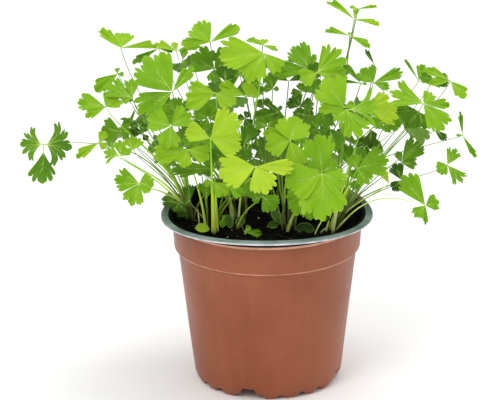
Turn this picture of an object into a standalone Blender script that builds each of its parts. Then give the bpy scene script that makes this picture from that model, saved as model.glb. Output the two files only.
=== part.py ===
"""Young flat-leaf parsley in a thermoformed nursery pot.

It is about 25 cm high and 28 cm across its leaves. The pot stands on the flat pad in the middle of its
base. It holds a block of peat compost with ten root crowns. Each crown sends up petioles, and each petiole
carries one leaf blade that is cut into leaflets.

Sizes and places are in millimetres, with the origin on the pot's axis where the pad meets the ground, +Z up
and the plant's broad side along X. The meshes are in metres.
"""

import math
from collections import namedtuple

import bmesh
import bpy
from mathutils import Matrix, Vector

MM = 0.001
CLEARANCE = 0.3

# Pot
POT_HEIGHT = 110.0
RIM_RADIUS = 65.0
LIP_DROP = 3.0
WALL = 0.9
PAD_RADIUS = 17.5
CHANNEL_HEIGHT = 5.0
CHANNEL_INNER = 20.5
CHANNEL_OUTER = 34.5
POT_SIDES = 60
POT_TURN = 4.0
SIDES_PER_FOOT = 3
FOOT_VALLEY = 2.2
SIDES_PER_DRAIN_NOTCH = 15
DRAIN_NOTCH_SIDES = (11, 12)
DRAIN_NOTCH = 5.5
DRAIN_HOLES = 8
DRAIN_HOLE_RADIUS = 3.0

# Outer face of the pot below the lip, from the top of the wall to the foot: radius and height.
# The band under the lip ends in a narrow ledge.
WALL_OUTSIDE = [(58.9, 106.0), (57.75, 87.0), (55.5, 86.2), (46.2, 8.7), (45.5, 4.0)]
FOOT_OUTSIDE = [(43.0, 0.0), (40.6, 0.0), (38.4, 3.2)]
FOOT_INNER_RADIUS = 36.0
FOOT_MIDDLE_RADIUS = 40.0
FOOT_OUTER_RADIUS = 47.0
WALL_FOOT_HEIGHT = 9.0

# Compost
SOIL_TOP = 100.0
SOIL_SIDES = 40

# Stalks
CROWN_BASE_RADIUS = 3.4
CROWN_TOP_RADIUS = 2.0
CROWN_HEIGHT = 5.0
CROWN_SIDES = 8
PETIOLE_START_HEIGHT = 2.4
PETIOLE_BASE_RADIUS = 1.0
PETIOLE_TIP_RADIUS = 0.5
PETIOLE_STEPS = 6
PETIOLE_SIDES = 4

# Blades
BLADE_THICKNESS = 0.5
LEAFLET_FOLD = 0.14
LEAFLET_MIDDLE = 0.45
# Half outline of a leaflet, from its foot to beside its tip: distance from the joint as a share of its
# length, and the angle from its midrib as a share of its half angle.
LEAFLET_OUTLINE = [(0.10, 0.5), (0.78, 1.0), (0.62, 0.52), (0.93, 0.34)]
LEAFLET_ROOM = 0.94

# Root crowns: where each one stands on the compost.
CROWNS = {
    1: (-43, 23),
    2: (-46, 10),
    3: (-34, -8),
    4: (-17, 8),
    5: (13, -8),
    6: (41, -8),
    7: (44, 10),
    8: (3, 26),
    9: (-20, 42),
    10: (26, 38),
}


class Leaf(namedtuple("Leaf", "crown x y z lean tilt")):
    """A blade: the crown it grows from, where its leaflets join, and the way it leans and by how much.

    Its leaflets follow counter-clockwise, each with its direction before the blade leans, its length,
    and the half angle of its fan.
    """

    def __new__(cls, crown, x, y, z, lean, tilt, *leaflets):
        leaf = super().__new__(cls, crown, x, y, z, lean, tilt)
        leaf.leaflets = leaflets
        return leaf


LEAVES = [
    Leaf(1, -137, -5, 155, -95, 60, (174, 14, 62), (267, 22, 33), (351, 16, 70)),
    Leaf(1, -89, 10, 212, -90, 25, (1, 22, 9), (77, 14, 32), (133, 20, 15)),
    Leaf(4, -66, 21, 208, -90, 50, (118, 3, 30), (212, 19, 9), (344, 9, 12)),
    Leaf(2, -57, -20, 193, -90, 60, (51, 20, 14), (131, 28, 35), (210, 25, 23)),
    Leaf(1, -98, -15, 182, -90, 50, (46, 11, 46), (167, 18, 22), (209, 14, 15)),
    Leaf(1, -91, 8, 196, -90, 50, (99, 4, 30), (220, 18, 18), (344, 4, 30)),
    Leaf(2, -82, -13, 187, -90, 50, (91, 13, 24), (151, 19, 24), (206, 7, 24)),
    Leaf(1, -90, 4, 160, -110, 55, (41, 10, 18), (163, 13, 42), (337, 7, 40)),
    Leaf(2, -89, -25, 154, -90, 60, (35, 7, 30), (94, 10, 28), (167, 11, 44)),
    Leaf(1, -103, -5, 156, -90, 55, (60, 8, 28), (215, 17, 13), (318, 6, 30)),
    Leaf(2, -78, -25, 136, -90, 62, (170, 16, 32), (248, 15, 32), (355, 9, 56)),
    Leaf(4, -34, 10, 215, -90, 50, (30, 21, 13), (129, 16, 36), (183, 18, 13)),
    Leaf(4, -55, 15, 208, -90, 35, (14, 15, 14), (104, 7, 24), (155, 15, 14)),
    Leaf(8, -32, 25, 193, -90, 55, (28, 17, 44), (149, 17, 38), (271, 9, 36)),
    Leaf(4, -1, -10, 214, -90, 45, (186, 28, 28), (242, 22, 28), (305, 17, 22)),
    Leaf(8, 28, 8, 197, -90, 50, (80, 11, 13), (125, 20, 27), (181, 26, 17)),
    Leaf(5, 31, -19, 204, -90, 58, (46, 21, 28), (205, 12, 36), (347, 19, 22)),
    Leaf(10, 54, 0, 232, -90, 25, (79, 10, 14), (132, 24, 8), (341, 16, 11)),
    Leaf(6, 51, -5, 223, -90, 25, (90, 3, 30), (160, 16, 10), (318, 16, 13)),
    Leaf(7, 66, 10, 188, -90, 50, (20, 20, 13), (126, 12, 42), (338, 11, 20)),
    Leaf(5, 47, -38, 188, -90, 60, (20, 7, 26), (126, 22, 37), (182, 16, 18)),
    Leaf(6, 61, -24, 182, -90, 55, (30, 16, 22), (109, 6, 30), (345, 20, 22)),
    Leaf(5, 14, -44, 169, -90, 58, (75, 16, 56), (197, 16, 36), (289, 19, 28)),
    Leaf(6, 33, -65, 155, -90, 60, (200, 23, 34), (270, 29, 34), (333, 16, 32)),
    Leaf(5, 33, -55, 153, -90, 62, (28, 11, 34), (95, 23, 30), (164, 11, 32)),
    Leaf(3, -7, -68, 161, -90, 50, (195, 23, 34), (292, 19, 32), (355, 23, 15)),
    Leaf(4, -3, -50, 136, -90, 60, (139, 9, 32), (205, 7, 30), (314, 12, 42)),
    Leaf(3, -34, -50, 173, -90, 48, (46, 23, 26), (164, 16, 28), (340, 20, 30)),
    Leaf(3, -58, -35, 176, -90, 55, (34, 15, 34), (159, 15, 38), (262, 14, 36)),
    Leaf(3, -48, -39, 162, -90, 50, (194, 21, 24), (253, 12, 30), (340, 15, 28)),
    Leaf(4, -31, -20, 192, -90, 42, (166, 17, 19), (210, 21, 20), (326, 15, 38)),
    Leaf(6, 55, -35, 148, -90, 60, (14, 20, 32), (114, 9, 40), (304, 12, 34)),
    Leaf(7, 113, 0, 192, -90, 40, (150, 18, 13), (189, 14, 16), (304, 15, 20)),
    Leaf(6, 95, -32, 188, -90, 55, (53, 9, 32), (160, 22, 24), (305, 21, 26), (356, 16, 15)),
    Leaf(7, 83, -5, 141, -90, 60, (48, 18, 26), (111, 8, 24), (353, 10, 26)),
    Leaf(7, 111, -10, 141, -90, 60, (62, 12, 26), (215, 8, 48), (309, 15, 20)),
    Leaf(10, 121, 5, 155, -90, 75, (96, 15, 7), (179, 4, 20), (301, 16, 8)),
    Leaf(6, 97, -25, 120, -90, 60, (18, 9, 42), (126, 24, 21), (226, 10, 30), (269, 12, 9)),
    Leaf(6, 48, -46, 189, -90, 60, (4, 21, 32), (220, 10, 42), (296, 19, 28)),
    Leaf(9, -60, 55, 154, 120, 40, (22, 22, 40), (130, 24, 40), (238, 22, 40)),
    Leaf(9, -22, 78, 158, 100, 45, (100, 25, 40), (208, 23, 40), (352, 23, 40)),
    Leaf(10, 15, 80, 139, 80, 45, (80, 25, 40), (188, 23, 40), (332, 23, 40)),
    Leaf(10, 57, 62, 151, 50, 40, (45, 24, 40), (153, 22, 40), (297, 22, 40)),
    Leaf(9, -85, 45, 150, 140, 45, (42, 20, 40), (150, 22, 40), (258, 20, 40)),
    Leaf(10, 85, 45, 150, 40, 45, (30, 22, 40), (138, 20, 40), (282, 20, 40)),
    Leaf(8, -10, 50, 185, 90, 30, (95, 25, 40), (203, 23, 40), (347, 23, 40)),
    Leaf(10, 35, 45, 188, 60, 30, (60, 24, 40), (168, 22, 40), (312, 22, 40)),
    Leaf(9, -45, 45, 190, 120, 25, (12, 20, 40), (120, 22, 40), (228, 20, 40)),
]


def new_material(name, colour, roughness):
    material = bpy.data.materials.new(name)
    material.use_nodes = True
    shader = material.node_tree.nodes["Principled BSDF"]
    shader.inputs["Base Color"].default_value = (*colour, 1.0)
    shader.inputs["Roughness"].default_value = roughness
    shader.inputs["Metallic"].default_value = 0.0
    return material


def new_object(name, vertices, faces, material):
    """Makes an object from vertices in millimetres, with its faces turned outward."""
    mesh = bpy.data.meshes.new(name)
    mesh.from_pydata([Vector(v) * MM for v in vertices], [], faces)
    shape = bmesh.new()
    shape.from_mesh(mesh)
    bmesh.ops.recalc_face_normals(shape, faces=shape.faces)
    shape.to_mesh(mesh)
    shape.free()
    mesh.materials.append(material)
    made = bpy.data.objects.new(name, mesh)
    bpy.context.scene.collection.objects.link(made)
    return made


def turned(profile, sides, turn=0.0, lift=None):
    """A profile turned about Z, as vertices and faces; its ends lie on the axis, lift moves points up."""
    vertices = []
    rings = []
    for radius, height in profile:
        if radius == 0.0:
            rings.append([len(vertices)])
            vertices.append((0.0, 0.0, height))
            continue
        rings.append(list(range(len(vertices), len(vertices) + sides)))
        for side in range(sides):
            angle = math.tau * side / sides + math.radians(turn)
            raised = height + (lift(side, radius, height) if lift else 0.0)
            vertices.append((radius * math.cos(angle), radius * math.sin(angle), raised))
    faces = []
    for lower, upper in zip(rings, rings[1:]):
        for side in range(sides):
            after = (side + 1) % sides
            corners = [lower[side % len(lower)], lower[after % len(lower)]]
            corners += [upper[after % len(upper)], upper[side % len(upper)]]
            faces.append(list(dict.fromkeys(corners)))
    return vertices, faces


def inward_offset(profile, distance):
    """The profile moved by distance to its left when it is walked from the rim down to the base."""
    moved = []
    for index, (radius, height) in enumerate(profile):
        before = Vector(profile[max(index - 1, 0)])
        after = Vector(profile[min(index + 1, len(profile) - 1)])
        here = Vector((radius, height))
        first = (here - before).normalized() if index else (after - here).normalized()
        second = (after - here).normalized() if index < len(profile) - 1 else first
        normal_one = Vector((first.y, -first.x))
        normal_two = Vector((second.y, -second.x))
        mitre = (normal_one + normal_two).normalized()
        reach = distance / max(mitre.dot(normal_one), 0.6)
        moved.append((radius + mitre.x * reach, height + mitre.y * reach))
    return moved


def foot_lift(side, radius, height):
    """Raises the foot ring into valleys between its feet, and into a drain notch at every quarter turn."""
    if not FOOT_INNER_RADIUS < radius < FOOT_OUTER_RADIUS or height > WALL_FOOT_HEIGHT:
        return 0.0
    rise = FOOT_VALLEY if side % SIDES_PER_FOOT == 1 else 0.0
    if side % SIDES_PER_DRAIN_NOTCH in DRAIN_NOTCH_SIDES:
        rise = DRAIN_NOTCH
    top = WALL_FOOT_HEIGHT if radius > FOOT_MIDDLE_RADIUS else CHANNEL_HEIGHT + WALL
    return rise * max(0.0, 1.0 - height / top)


def make_pot(material):
    outside = WALL_OUTSIDE + FOOT_OUTSIDE
    outside += [(CHANNEL_OUTER, CHANNEL_HEIGHT), (CHANNEL_INNER, CHANNEL_HEIGHT), (PAD_RADIUS, 0.0)]
    inside = inward_offset(outside, WALL)
    lip_under = POT_HEIGHT - WALL
    lip = [
        (inside[0][0] + 0.3, POT_HEIGHT),
        (RIM_RADIUS - 0.7, POT_HEIGHT),
        (RIM_RADIUS, POT_HEIGHT - 0.6),
        (RIM_RADIUS, POT_HEIGHT - LIP_DROP),
        (RIM_RADIUS - WALL, POT_HEIGHT - LIP_DROP),
        (RIM_RADIUS - WALL, lip_under),
        (WALL_OUTSIDE[0][0] + 0.5, lip_under),
    ]
    profile = [(0.0, WALL)] + inside[::-1] + lip + outside + [(0.0, 0.0)]
    pot = new_object("pot", *turned(profile, POT_SIDES, POT_TURN, foot_lift), material)
    cutter_shape = bmesh.new()
    middle = (CHANNEL_INNER + CHANNEL_OUTER) / 2
    for hole in range(DRAIN_HOLES):
        angle = math.tau * (hole + 0.5) / DRAIN_HOLES
        place = Vector((middle * math.cos(angle), middle * math.sin(angle), CHANNEL_HEIGHT)) * MM
        bmesh.ops.create_cone(
            cutter_shape,
            cap_ends=True,
            segments=10,
            radius1=DRAIN_HOLE_RADIUS * MM,
            radius2=DRAIN_HOLE_RADIUS * MM,
            depth=6.0 * MM,
            matrix=Matrix.Translation(place),
        )
    cutter_mesh = bpy.data.meshes.new("drain_hole_cutter")
    cutter_shape.to_mesh(cutter_mesh)
    cutter_shape.free()
    cut(pot, helper("drain_hole_cutter", cutter_mesh), "DIFFERENCE")


def helper(name, mesh):
    """An object that only shapes another one."""
    made = bpy.data.objects.new(name, mesh)
    made.hide_render = True
    made.display_type = "WIRE"
    bpy.context.scene.collection.objects.link(made)
    return made


def cut(target, tool, operation):
    modifier = target.modifiers.new(tool.name, "BOOLEAN")
    modifier.operation = operation
    modifier.solver = "EXACT"
    modifier.object = tool


def make_soil(material):
    """The compost fills the pot, stands on the drain channel and follows the wall and its step."""
    wall = inward_offset(WALL_OUTSIDE, WALL + CLEARANCE)
    side = [point for point in wall if 12.0 < point[1] < SOIL_TOP]
    slope = (wall[0][0] - wall[1][0]) / (wall[0][1] - wall[1][1])
    top_radius = wall[1][0] + slope * (SOIL_TOP - wall[1][1])
    floor = CHANNEL_HEIGHT + WALL + CLEARANCE
    foot = [(43.4, 12.0), (36.0, floor)]
    profile = [(0.0, SOIL_TOP), (top_radius, SOIL_TOP)] + side + foot + [(0.0, floor)]
    new_object("soil", *turned(profile, SOIL_SIDES), material)


def blade_turn(leaf):
    """The turn that tips a flat blade over toward the way it leans."""
    lean = math.radians(leaf.lean)
    hinge = Vector((-math.sin(lean), math.cos(lean), 0.0))
    return Matrix.Rotation(math.radians(leaf.tilt), 3, hinge)


def leaflet_halves(leaflets):
    """The half angle of each leaflet, less where a neighbour is close."""
    halves = []
    for index, (heading, _, half) in enumerate(leaflets):
        share = 1.0
        for beside in (index - 1, (index + 1) % len(leaflets)):
            other, _, other_half = leaflets[beside]
            apart = min((heading - other) % 360, (other - heading) % 360)
            share = min(share, LEAFLET_ROOM * apart / (half + other_half))
        halves.append(half * share)
    return halves


def leaflet_point(heading, distance, angle):
    """A point of a leaflet at an angle from its midrib; the leaflet folds up a little along the midrib."""
    side = math.radians(angle)
    turn = Matrix.Rotation(math.radians(heading), 3, "Z")
    across = distance * math.sin(side)
    return turn @ Vector((distance * math.cos(side), across, abs(across) * LEAFLET_FOLD))


def make_blade(name, leaf, material):
    vertices = [Vector((0.0, 0.0, 0.0))]
    faces = []
    border = []
    feet = []
    for (heading, length, _), half in zip(leaf.leaflets, leaflet_halves(leaf.leaflets)):
        right = [(length * distance, -half * share) for distance, share in LEAFLET_OUTLINE]
        left = [(distance, -angle) for distance, angle in reversed(right)]
        points = [leaflet_point(heading, *point) for point in right + [(length, 0.0)] + left]
        middle = len(vertices)
        first = middle + 1
        last = middle + len(points)
        vertices += [leaflet_point(heading, length * LEAFLET_MIDDLE, 0.0)] + points
        faces += [(middle, first + k, first + k + 1) for k in range(len(points) - 1)]
        faces += [(middle, last, first), (0, first, last)]
        border += list(range(first, last + 1))
        feet.append((first, last))
    for (_, last), (following, _) in zip(feet, feet[1:] + feet[:1]):
        faces.append((0, last, following))
    count = len(vertices)
    under = [tuple(corner + count for corner in reversed(face)) for face in faces]
    sides = []
    for here, after in zip(border, border[1:] + border[:1]):
        sides.append((after, here, here + count, after + count))
    half_sheet = Vector((0.0, 0.0, BLADE_THICKNESS / 2))
    tip = blade_turn(leaf)
    place = Vector((leaf.x, leaf.y, leaf.z))
    upper = [place + tip @ (v + half_sheet) for v in vertices]
    lower = [place + tip @ (v - half_sheet) for v in vertices]
    new_object(name, upper + lower, faces + under + sides, material)


def petiole_path(leaf):
    """A petiole leaves its crown steeply, arches outward and ends just under the joint of the leaflets."""
    normal = blade_turn(leaf) @ Vector((0.0, 0.0, 1.0))
    crown = Vector((*CROWNS[leaf.crown], SOIL_TOP + PETIOLE_START_HEIGHT))
    joint = Vector((leaf.x, leaf.y, leaf.z))
    reach = joint - crown
    outward = Vector((reach.x, reach.y, 0.0)).normalized()
    start = crown + outward * 1.4
    arrive = (reach.normalized() * 0.8 + normal * 0.6).normalized()
    if arrive.dot(normal) < 0.35:
        arrive = (arrive + normal * (0.45 - arrive.dot(normal))).normalized()
    slant = math.sqrt(max(0.0, 1.0 - arrive.dot(normal) ** 2))
    gap = BLADE_THICKNESS / 2 + CLEARANCE + PETIOLE_TIP_RADIUS * slant
    end = joint - normal * gap
    leave = (reach.normalized() + Vector((0.0, 0.0, 0.9))).normalized()
    first_handle = start + leave * reach.length * 0.38
    last_handle = end - arrive * reach.length * 0.30
    path = []
    for step in range(PETIOLE_STEPS + 1):
        t = step / PETIOLE_STEPS
        s = 1.0 - t
        handles = first_handle * s + last_handle * t
        path.append(start * s**3 + handles * 3 * s * t + end * t**3)
    return path


def make_tube(name, path, base_radius, tip_radius):
    """A tapered tube along the path, closed at both ends."""
    vertices = []
    faces = []
    side_axis = (path[-1] - path[0]).cross(Vector((0.0, 0.0, 1.0))).normalized()
    for index, point in enumerate(path):
        along = path[min(index + 1, len(path) - 1)] - path[max(index - 1, 0)]
        across = (side_axis - along * side_axis.dot(along) / along.length_squared).normalized()
        up = along.cross(across).normalized()
        radius = base_radius + (tip_radius - base_radius) * index / (len(path) - 1)
        for side in range(PETIOLE_SIDES):
            angle = math.tau * (side + 0.5) / PETIOLE_SIDES
            vertices.append(point + (across * math.cos(angle) + up * math.sin(angle)) * radius)
    for ring in range(len(path) - 1):
        for side in range(PETIOLE_SIDES):
            after = (side + 1) % PETIOLE_SIDES
            low, high = ring * PETIOLE_SIDES, (ring + 1) * PETIOLE_SIDES
            faces.append((low + side, low + after, high + after, high + side))
    top = (len(path) - 1) * PETIOLE_SIDES
    faces.append(tuple(reversed(range(PETIOLE_SIDES))))
    faces.append(tuple(range(top, top + PETIOLE_SIDES)))
    mesh = bpy.data.meshes.new(name)
    mesh.from_pydata([v * MM for v in vertices], [], faces)
    shape = bmesh.new()
    shape.from_mesh(mesh)
    bmesh.ops.recalc_face_normals(shape, faces=shape.faces)
    shape.to_mesh(mesh)
    shape.free()
    return mesh


def make_stalks(number, material):
    """One root crown with all its petioles, grown as one piece and seated on the compost."""
    x, y = CROWNS[number]
    low, high = SOIL_TOP + CLEARANCE, SOIL_TOP + CLEARANCE + CROWN_HEIGHT
    shoulder = low + 1.2
    profile = [(0.0, high), (CROWN_TOP_RADIUS, high), (CROWN_BASE_RADIUS, shoulder)]
    profile += [(CROWN_BASE_RADIUS, low), (0.0, low)]
    vertices, faces = turned(profile, CROWN_SIDES)
    placed = [(vx + x, vy + y, vz) for vx, vy, vz in vertices]
    stalks = new_object(f"stalks_{number:02d}", placed, faces, material)
    for index, leaf in enumerate(LEAVES, 1):
        if leaf.crown == number:
            path = petiole_path(leaf)
            mesh = make_tube(f"petiole_{index:02d}", path, PETIOLE_BASE_RADIUS, PETIOLE_TIP_RADIUS)
            cut(stalks, helper(mesh.name, mesh), "UNION")


def build():
    for leftover in list(bpy.data.objects):
        bpy.data.objects.remove(leftover)
    make_pot(new_material("terracotta_plastic", (0.30, 0.10, 0.05), 0.45))
    make_soil(new_material("peat", (0.012, 0.010, 0.008), 0.95))
    stalk = new_material("stalk", (0.38, 0.50, 0.10), 0.45)
    for number in CROWNS:
        make_stalks(number, stalk)
    green = new_material("leaf", (0.24, 0.45, 0.03), 0.45)
    for index, leaf in enumerate(LEAVES, 1):
        make_blade(f"leaf_{index:02d}", leaf, green)


build()
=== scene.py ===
import math
import random
from collections import namedtuple

import bmesh
import bpy
import numpy as np
from mathutils import Matrix, Vector, noise


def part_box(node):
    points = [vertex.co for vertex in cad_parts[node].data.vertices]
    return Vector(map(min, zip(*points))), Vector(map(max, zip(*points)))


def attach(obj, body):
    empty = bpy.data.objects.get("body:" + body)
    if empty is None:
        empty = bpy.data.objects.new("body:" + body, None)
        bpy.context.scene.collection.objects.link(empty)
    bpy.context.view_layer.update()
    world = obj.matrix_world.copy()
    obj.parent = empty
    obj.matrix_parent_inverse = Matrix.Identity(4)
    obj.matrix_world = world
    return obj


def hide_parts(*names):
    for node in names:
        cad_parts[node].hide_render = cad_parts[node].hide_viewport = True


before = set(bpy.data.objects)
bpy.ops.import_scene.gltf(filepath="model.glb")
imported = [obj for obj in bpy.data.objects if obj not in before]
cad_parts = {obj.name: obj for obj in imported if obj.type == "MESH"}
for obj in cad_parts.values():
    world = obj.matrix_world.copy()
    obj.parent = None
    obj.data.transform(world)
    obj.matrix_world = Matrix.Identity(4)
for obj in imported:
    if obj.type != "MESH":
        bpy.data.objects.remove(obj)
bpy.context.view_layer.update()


# ---- Pot ----
# A nursery pot drawn from one plastic sheet, terracotta outside and dark green inside. The lip is turned
# down and shows the green layer, and the wall has one step. Below are a scalloped foot ring with four drain
# notches, a raised channel with eight drain holes, and a flat pad that the pot stands on.
MM = 0.001
WALL = 0.9
LIP_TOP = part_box("pot")[1].z / MM - WALL
LIP_FOOT = 103.5
LIP_DROP = 1.3
LIP_WAVE = 1.9
LIP_WAVE_RISE = 5.5
RIM_RADIUS = 65.6
CUT_EDGE = 0.8
UNDER_LIP = [(58.95, 106.9), (58.9, 105.2)]
WALL_LINE = [(58.85, 104.1), (57.75, 87.0), (55.5, 86.2), (46.2, 8.7)]
FOOT_LINE = [(45.5, 4.0), (43.0, 0.0), (40.6, 0.0), (38.4, 3.2)]
CHANNEL_LINE = [(34.5, 5.0), (20.5, 5.0)]
PAD_LINE = [(17.5, 0.0), (0.4, 0.0)]
POT_OUTSIDE = WALL_LINE + FOOT_LINE + CHANNEL_LINE + PAD_LINE
OUTER_ROUNDING = 1.1
INNER_ROUNDING = 1.0
POT_SIDES = 288
SHEET_STEP = 2.6
FOOT_RING = (36.0, 47.0)
FOOT_MIDDLE = 40.0
FOOT_HEIGHT = 9.0
INNER_FOOT_HEIGHT = 5.9
FEET = 20
FOOT_TURN = math.radians(10.0)
FOOT_VALLEY = 2.0
VALLEY_EDGE = 0.62
VALLEY_SLOPE = 0.42
DRAIN_NOTCHES = 4
DRAIN_NOTCH_TURN = math.radians(73.0)
DRAIN_NOTCH_HALF = math.radians(8.5)
DRAIN_NOTCH_SLOPE = math.radians(3.6)
DRAIN_NOTCH = 5.8
DRAIN_HOLES = 8
DRAIN_HOLE_RADIUS = 3.0
DRAIN_HOLE_SIDES = 28
DRILL_LENGTH = 6.0
POT_SHARP_FOLD = 38

# Dents in the wall: turn in degrees, height, half width in degrees, half height, and depth inward.
DENTS = [
    (235.5, 88.5, 1.1, 3.0, 0.75),
    (232.6, 86.8, 1.4, 2.2, -0.45),
    (238.6, 89.5, 1.6, 3.0, -0.35),
    (315.0, 102.2, 0.9, 1.8, 0.8),
]
OUTSIDE, INSIDE, LIP, EDGE, LIP_SHADOW, RUBBED = range(6)


def smooth(value):
    """0 below 0, 1 above 1, and an even S between."""
    value = np.clip(value, 0.0, 1.0)
    return float(value * value * (3.0 - 2.0 * value))


def tone(value):
    """A shader's colour from a screen colour of three values up to 255, or from a grey up to 1."""
    if not isinstance(value, tuple):
        return value, value, value, 1.0
    shares = [part / 255 for part in value]
    return *[c / 12.92 if c <= 0.04045 else ((c + 0.055) / 1.055) ** 2.4 for c in shares], 1.0


class Finish:
    """A material as it is made up: its nodes, and coordinates in metres that lie still on the piece.

    Sockets are given by name, with _ for a space.
    """

    def __init__(self, name, roughness, **sockets):
        self.material = bpy.data.materials.new(name)
        self.material.use_nodes = True
        self.nodes = self.material.node_tree.nodes
        self.shader = self.nodes["Principled BSDF"]
        for key, value in dict(sockets, Roughness=roughness).items():
            self.fill(self.shader.inputs[key.replace("_", " ")], value)
        self.place = self.node("TexCoord").outputs["Object"]

    def fill(self, socket, value):
        """A socket linked to another, or set to a value."""
        if isinstance(value, bpy.types.NodeSocket):
            self.material.node_tree.links.new(value, socket)
        else:
            socket.default_value = value

    def node(self, kind, settings=(), **inputs):
        made = self.nodes.new("ShaderNode" + kind)
        for key, value in dict(settings).items():
            setattr(made, key, value)
        for key, value in inputs.items():
            self.fill(made.inputs[key.replace("_", " ")], value)
        return made

    def noise(self, scale, detail=4.0, roughness=0.6, stretch=(1.0, 1.0, 1.0)):
        """Noise over the piece; a stretch below 1 draws its grain out along that axis."""
        place = self.node("Mapping", Vector=self.place, Scale=stretch).outputs["Vector"]
        made = self.node("TexNoise", Vector=place, Scale=scale, Detail=detail, Roughness=roughness)
        return made.outputs["Fac"]

    def span(self, axis, low, high):
        """0 below one place along an axis, 1 above another, in metres."""
        place = self.node("SeparateXYZ", Vector=self.place).outputs[axis]
        return self.node("MapRange", Value=place, From_Min=low, From_Max=high).outputs["Result"]

    def mark(self, name):
        """A value that the piece carries at its vertices."""
        return self.node("Attribute", {"attribute_name": name}).outputs["Fac"]

    def maths(self, operation, *values):
        """A number from others."""
        made = self.node("Math", {"operation": operation})
        for socket, value in zip(made.inputs, values):
            self.fill(socket, value)
        return made.outputs["Value"]

    def ramp(self, value, *stops):
        """Tones along a value: stops are (position, tone) pairs."""
        made = self.node("ValToRGB", Fac=value)
        band = made.color_ramp.elements
        while len(band) < len(stops):
            band.new(1.0)
        for element, (position, stop_tone) in zip(band, stops):
            element.position = position
            element.color = tone(stop_tone)
        return made.outputs["Color"]

    def mix(self, share, first, second, blend="MIX"):
        """The first of two tones where the share is 0, the second where it is 1."""
        first, second = [tone(value) if isinstance(value, tuple) else value for value in (first, second)]
        made = self.node("MixRGB", {"blend_type": blend}, Fac=share, Color1=first, Color2=second)
        return made.outputs["Color"]

    def bump(self, height, strength, distance):
        normal = self.node("Bump", Height=height, Strength=strength, Distance=distance).outputs["Normal"]
        self.fill(self.shader.inputs["Normal"], normal)

    def painted(self, base):
        """The material, with its base colour."""
        self.fill(self.shader.inputs["Base Color"], base)
        return self.material


def mottled(name, roughness, scale, *stops):
    """A finish whose tones drift into each other."""
    skin = Finish(name, roughness)
    return skin.painted(skin.ramp(skin.noise(scale), *stops))


def add_object(name, data):
    made = bpy.data.objects.new(name, data)
    bpy.context.scene.collection.objects.link(made)
    return made


def new_piece(name, shape, materials, slots=None, sharp_fold=None):
    """A piece from its vertices in millimetres and its faces, with the slot of each face's material.

    Folds sharper than sharp_fold, in degrees, stay hard edges.
    """
    mesh = bpy.data.meshes.new(name)
    mesh.from_pydata(np.asarray(shape[0]) * MM, [], shape[1])
    for material in materials:
        mesh.materials.append(material)
    if slots is not None:
        mesh.polygons.foreach_set("material_index", slots)
    mesh.shade_smooth()
    if sharp_fold is not None:
        mesh.set_sharp_from_angle(angle=math.radians(sharp_fold))
    piece = add_object(name, mesh)
    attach(piece, "root")
    return piece


def ring_faces(rings, sides, flip=False):
    """The faces between neighbouring rings of vertices."""
    faces = []
    for low in range(0, (rings - 1) * sides, sides):
        high = low + sides
        for side in range(sides):
            after = (side + 1) % sides
            first, *others = low + side, low + after, high + after, high + side
            faces.append((first, *others[::-1]) if flip else (first, *others))
    return faces


def cap_faces(first, sides, centre, flip=False):
    """The faces from a ring of vertices that starts at first to the vertex in its centre."""
    faces = [(first + side, first + (side + 1) % sides, centre) for side in range(sides)]
    return [face[::-1] for face in faces] if flip else faces


def offset_line(corners, distance):
    """The line moved to its left by the sheet's thickness, walked from the rim down to the base."""
    moved = []
    for index, point in enumerate(corners):
        before = Vector(corners[max(index - 1, 0)])
        after = Vector(corners[min(index + 1, len(corners) - 1)])
        here = Vector(point)
        first = (here - before).normalized() if index else (after - here).normalized()
        second = (after - here).normalized() if index < len(corners) - 1 else first
        mitre = (Vector((first.y, -first.x)) + Vector((second.y, -second.x))).normalized()
        moved.append(tuple(here + mitre * distance / max(mitre.dot(Vector((first.y, -first.x))), 0.6)))
    return moved


def drawn(corners, reach, steps=3):
    """The line with each corner rounded over at most reach, and its long stretches divided."""
    points = [Vector(corners[0])]
    for before, here, after in zip(corners, corners[1:], corners[2:]):
        here = Vector(here)
        back = Vector(before) - here
        on = Vector(after) - here
        start = here + back.normalized() * min(reach, back.length * 0.4)
        end = here + on.normalized() * min(reach, on.length * 0.4)
        shares = np.linspace(0, 1, steps + 1)
        points += [start * (1 - t) ** 2 + here * 2 * t * (1 - t) + end * t * t for t in shares]
    points.append(Vector(corners[-1]))
    divided = [points[0]]
    for start, end in zip(points, points[1:]):
        parts = max(1, round((end - start).length / SHEET_STEP))
        divided += [start.lerp(end, (part + 1) / parts) for part in range(parts)]
    return [tuple(p) for p in divided]


def foot_rise(angle, radius, height):
    """How far the foot ring is drawn up: into uneven valleys between the feet and into the drain notches."""
    if not FOOT_RING[0] < radius < FOOT_RING[1] or height > FOOT_HEIGHT:
        return 0.0
    pitch = (angle - FOOT_TURN) / math.tau * FEET
    across = abs((pitch + 0.5) % 1.0 - 0.5) * 2.0
    depth = FOOT_VALLEY * (1.0 + 0.3 * math.sin(3.7 * round(pitch)))
    valley = depth * smooth((VALLEY_EDGE - across) / VALLEY_SLOPE)
    turn = math.tau / DRAIN_NOTCHES
    aside = abs((angle - DRAIN_NOTCH_TURN + turn / 2) % turn - turn / 2)
    notch = DRAIN_NOTCH * smooth((DRAIN_NOTCH_HALF - aside) / DRAIN_NOTCH_SLOPE)
    top = FOOT_HEIGHT if radius > FOOT_MIDDLE else INNER_FOOT_HEIGHT
    return max(valley, notch) * max(0.0, 1.0 - height / top)


def wall_shift(angle, height):
    """Inward shift of the wall: its dents, and the sheet's slow waves."""
    turned = math.degrees(angle) % 360.0
    shift = 0.10 * math.sin(3 * angle + 0.8) + 0.05 * math.sin(7 * angle + height / 17.0)
    for turn, level, wide, tall, depth in DENTS:
        shift += depth * math.exp(-(((turned - turn) / wide) ** 2) - ((height - level) / tall) ** 2)
    return shift * smooth((height - FOOT_HEIGHT) / 12.0)


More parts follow.
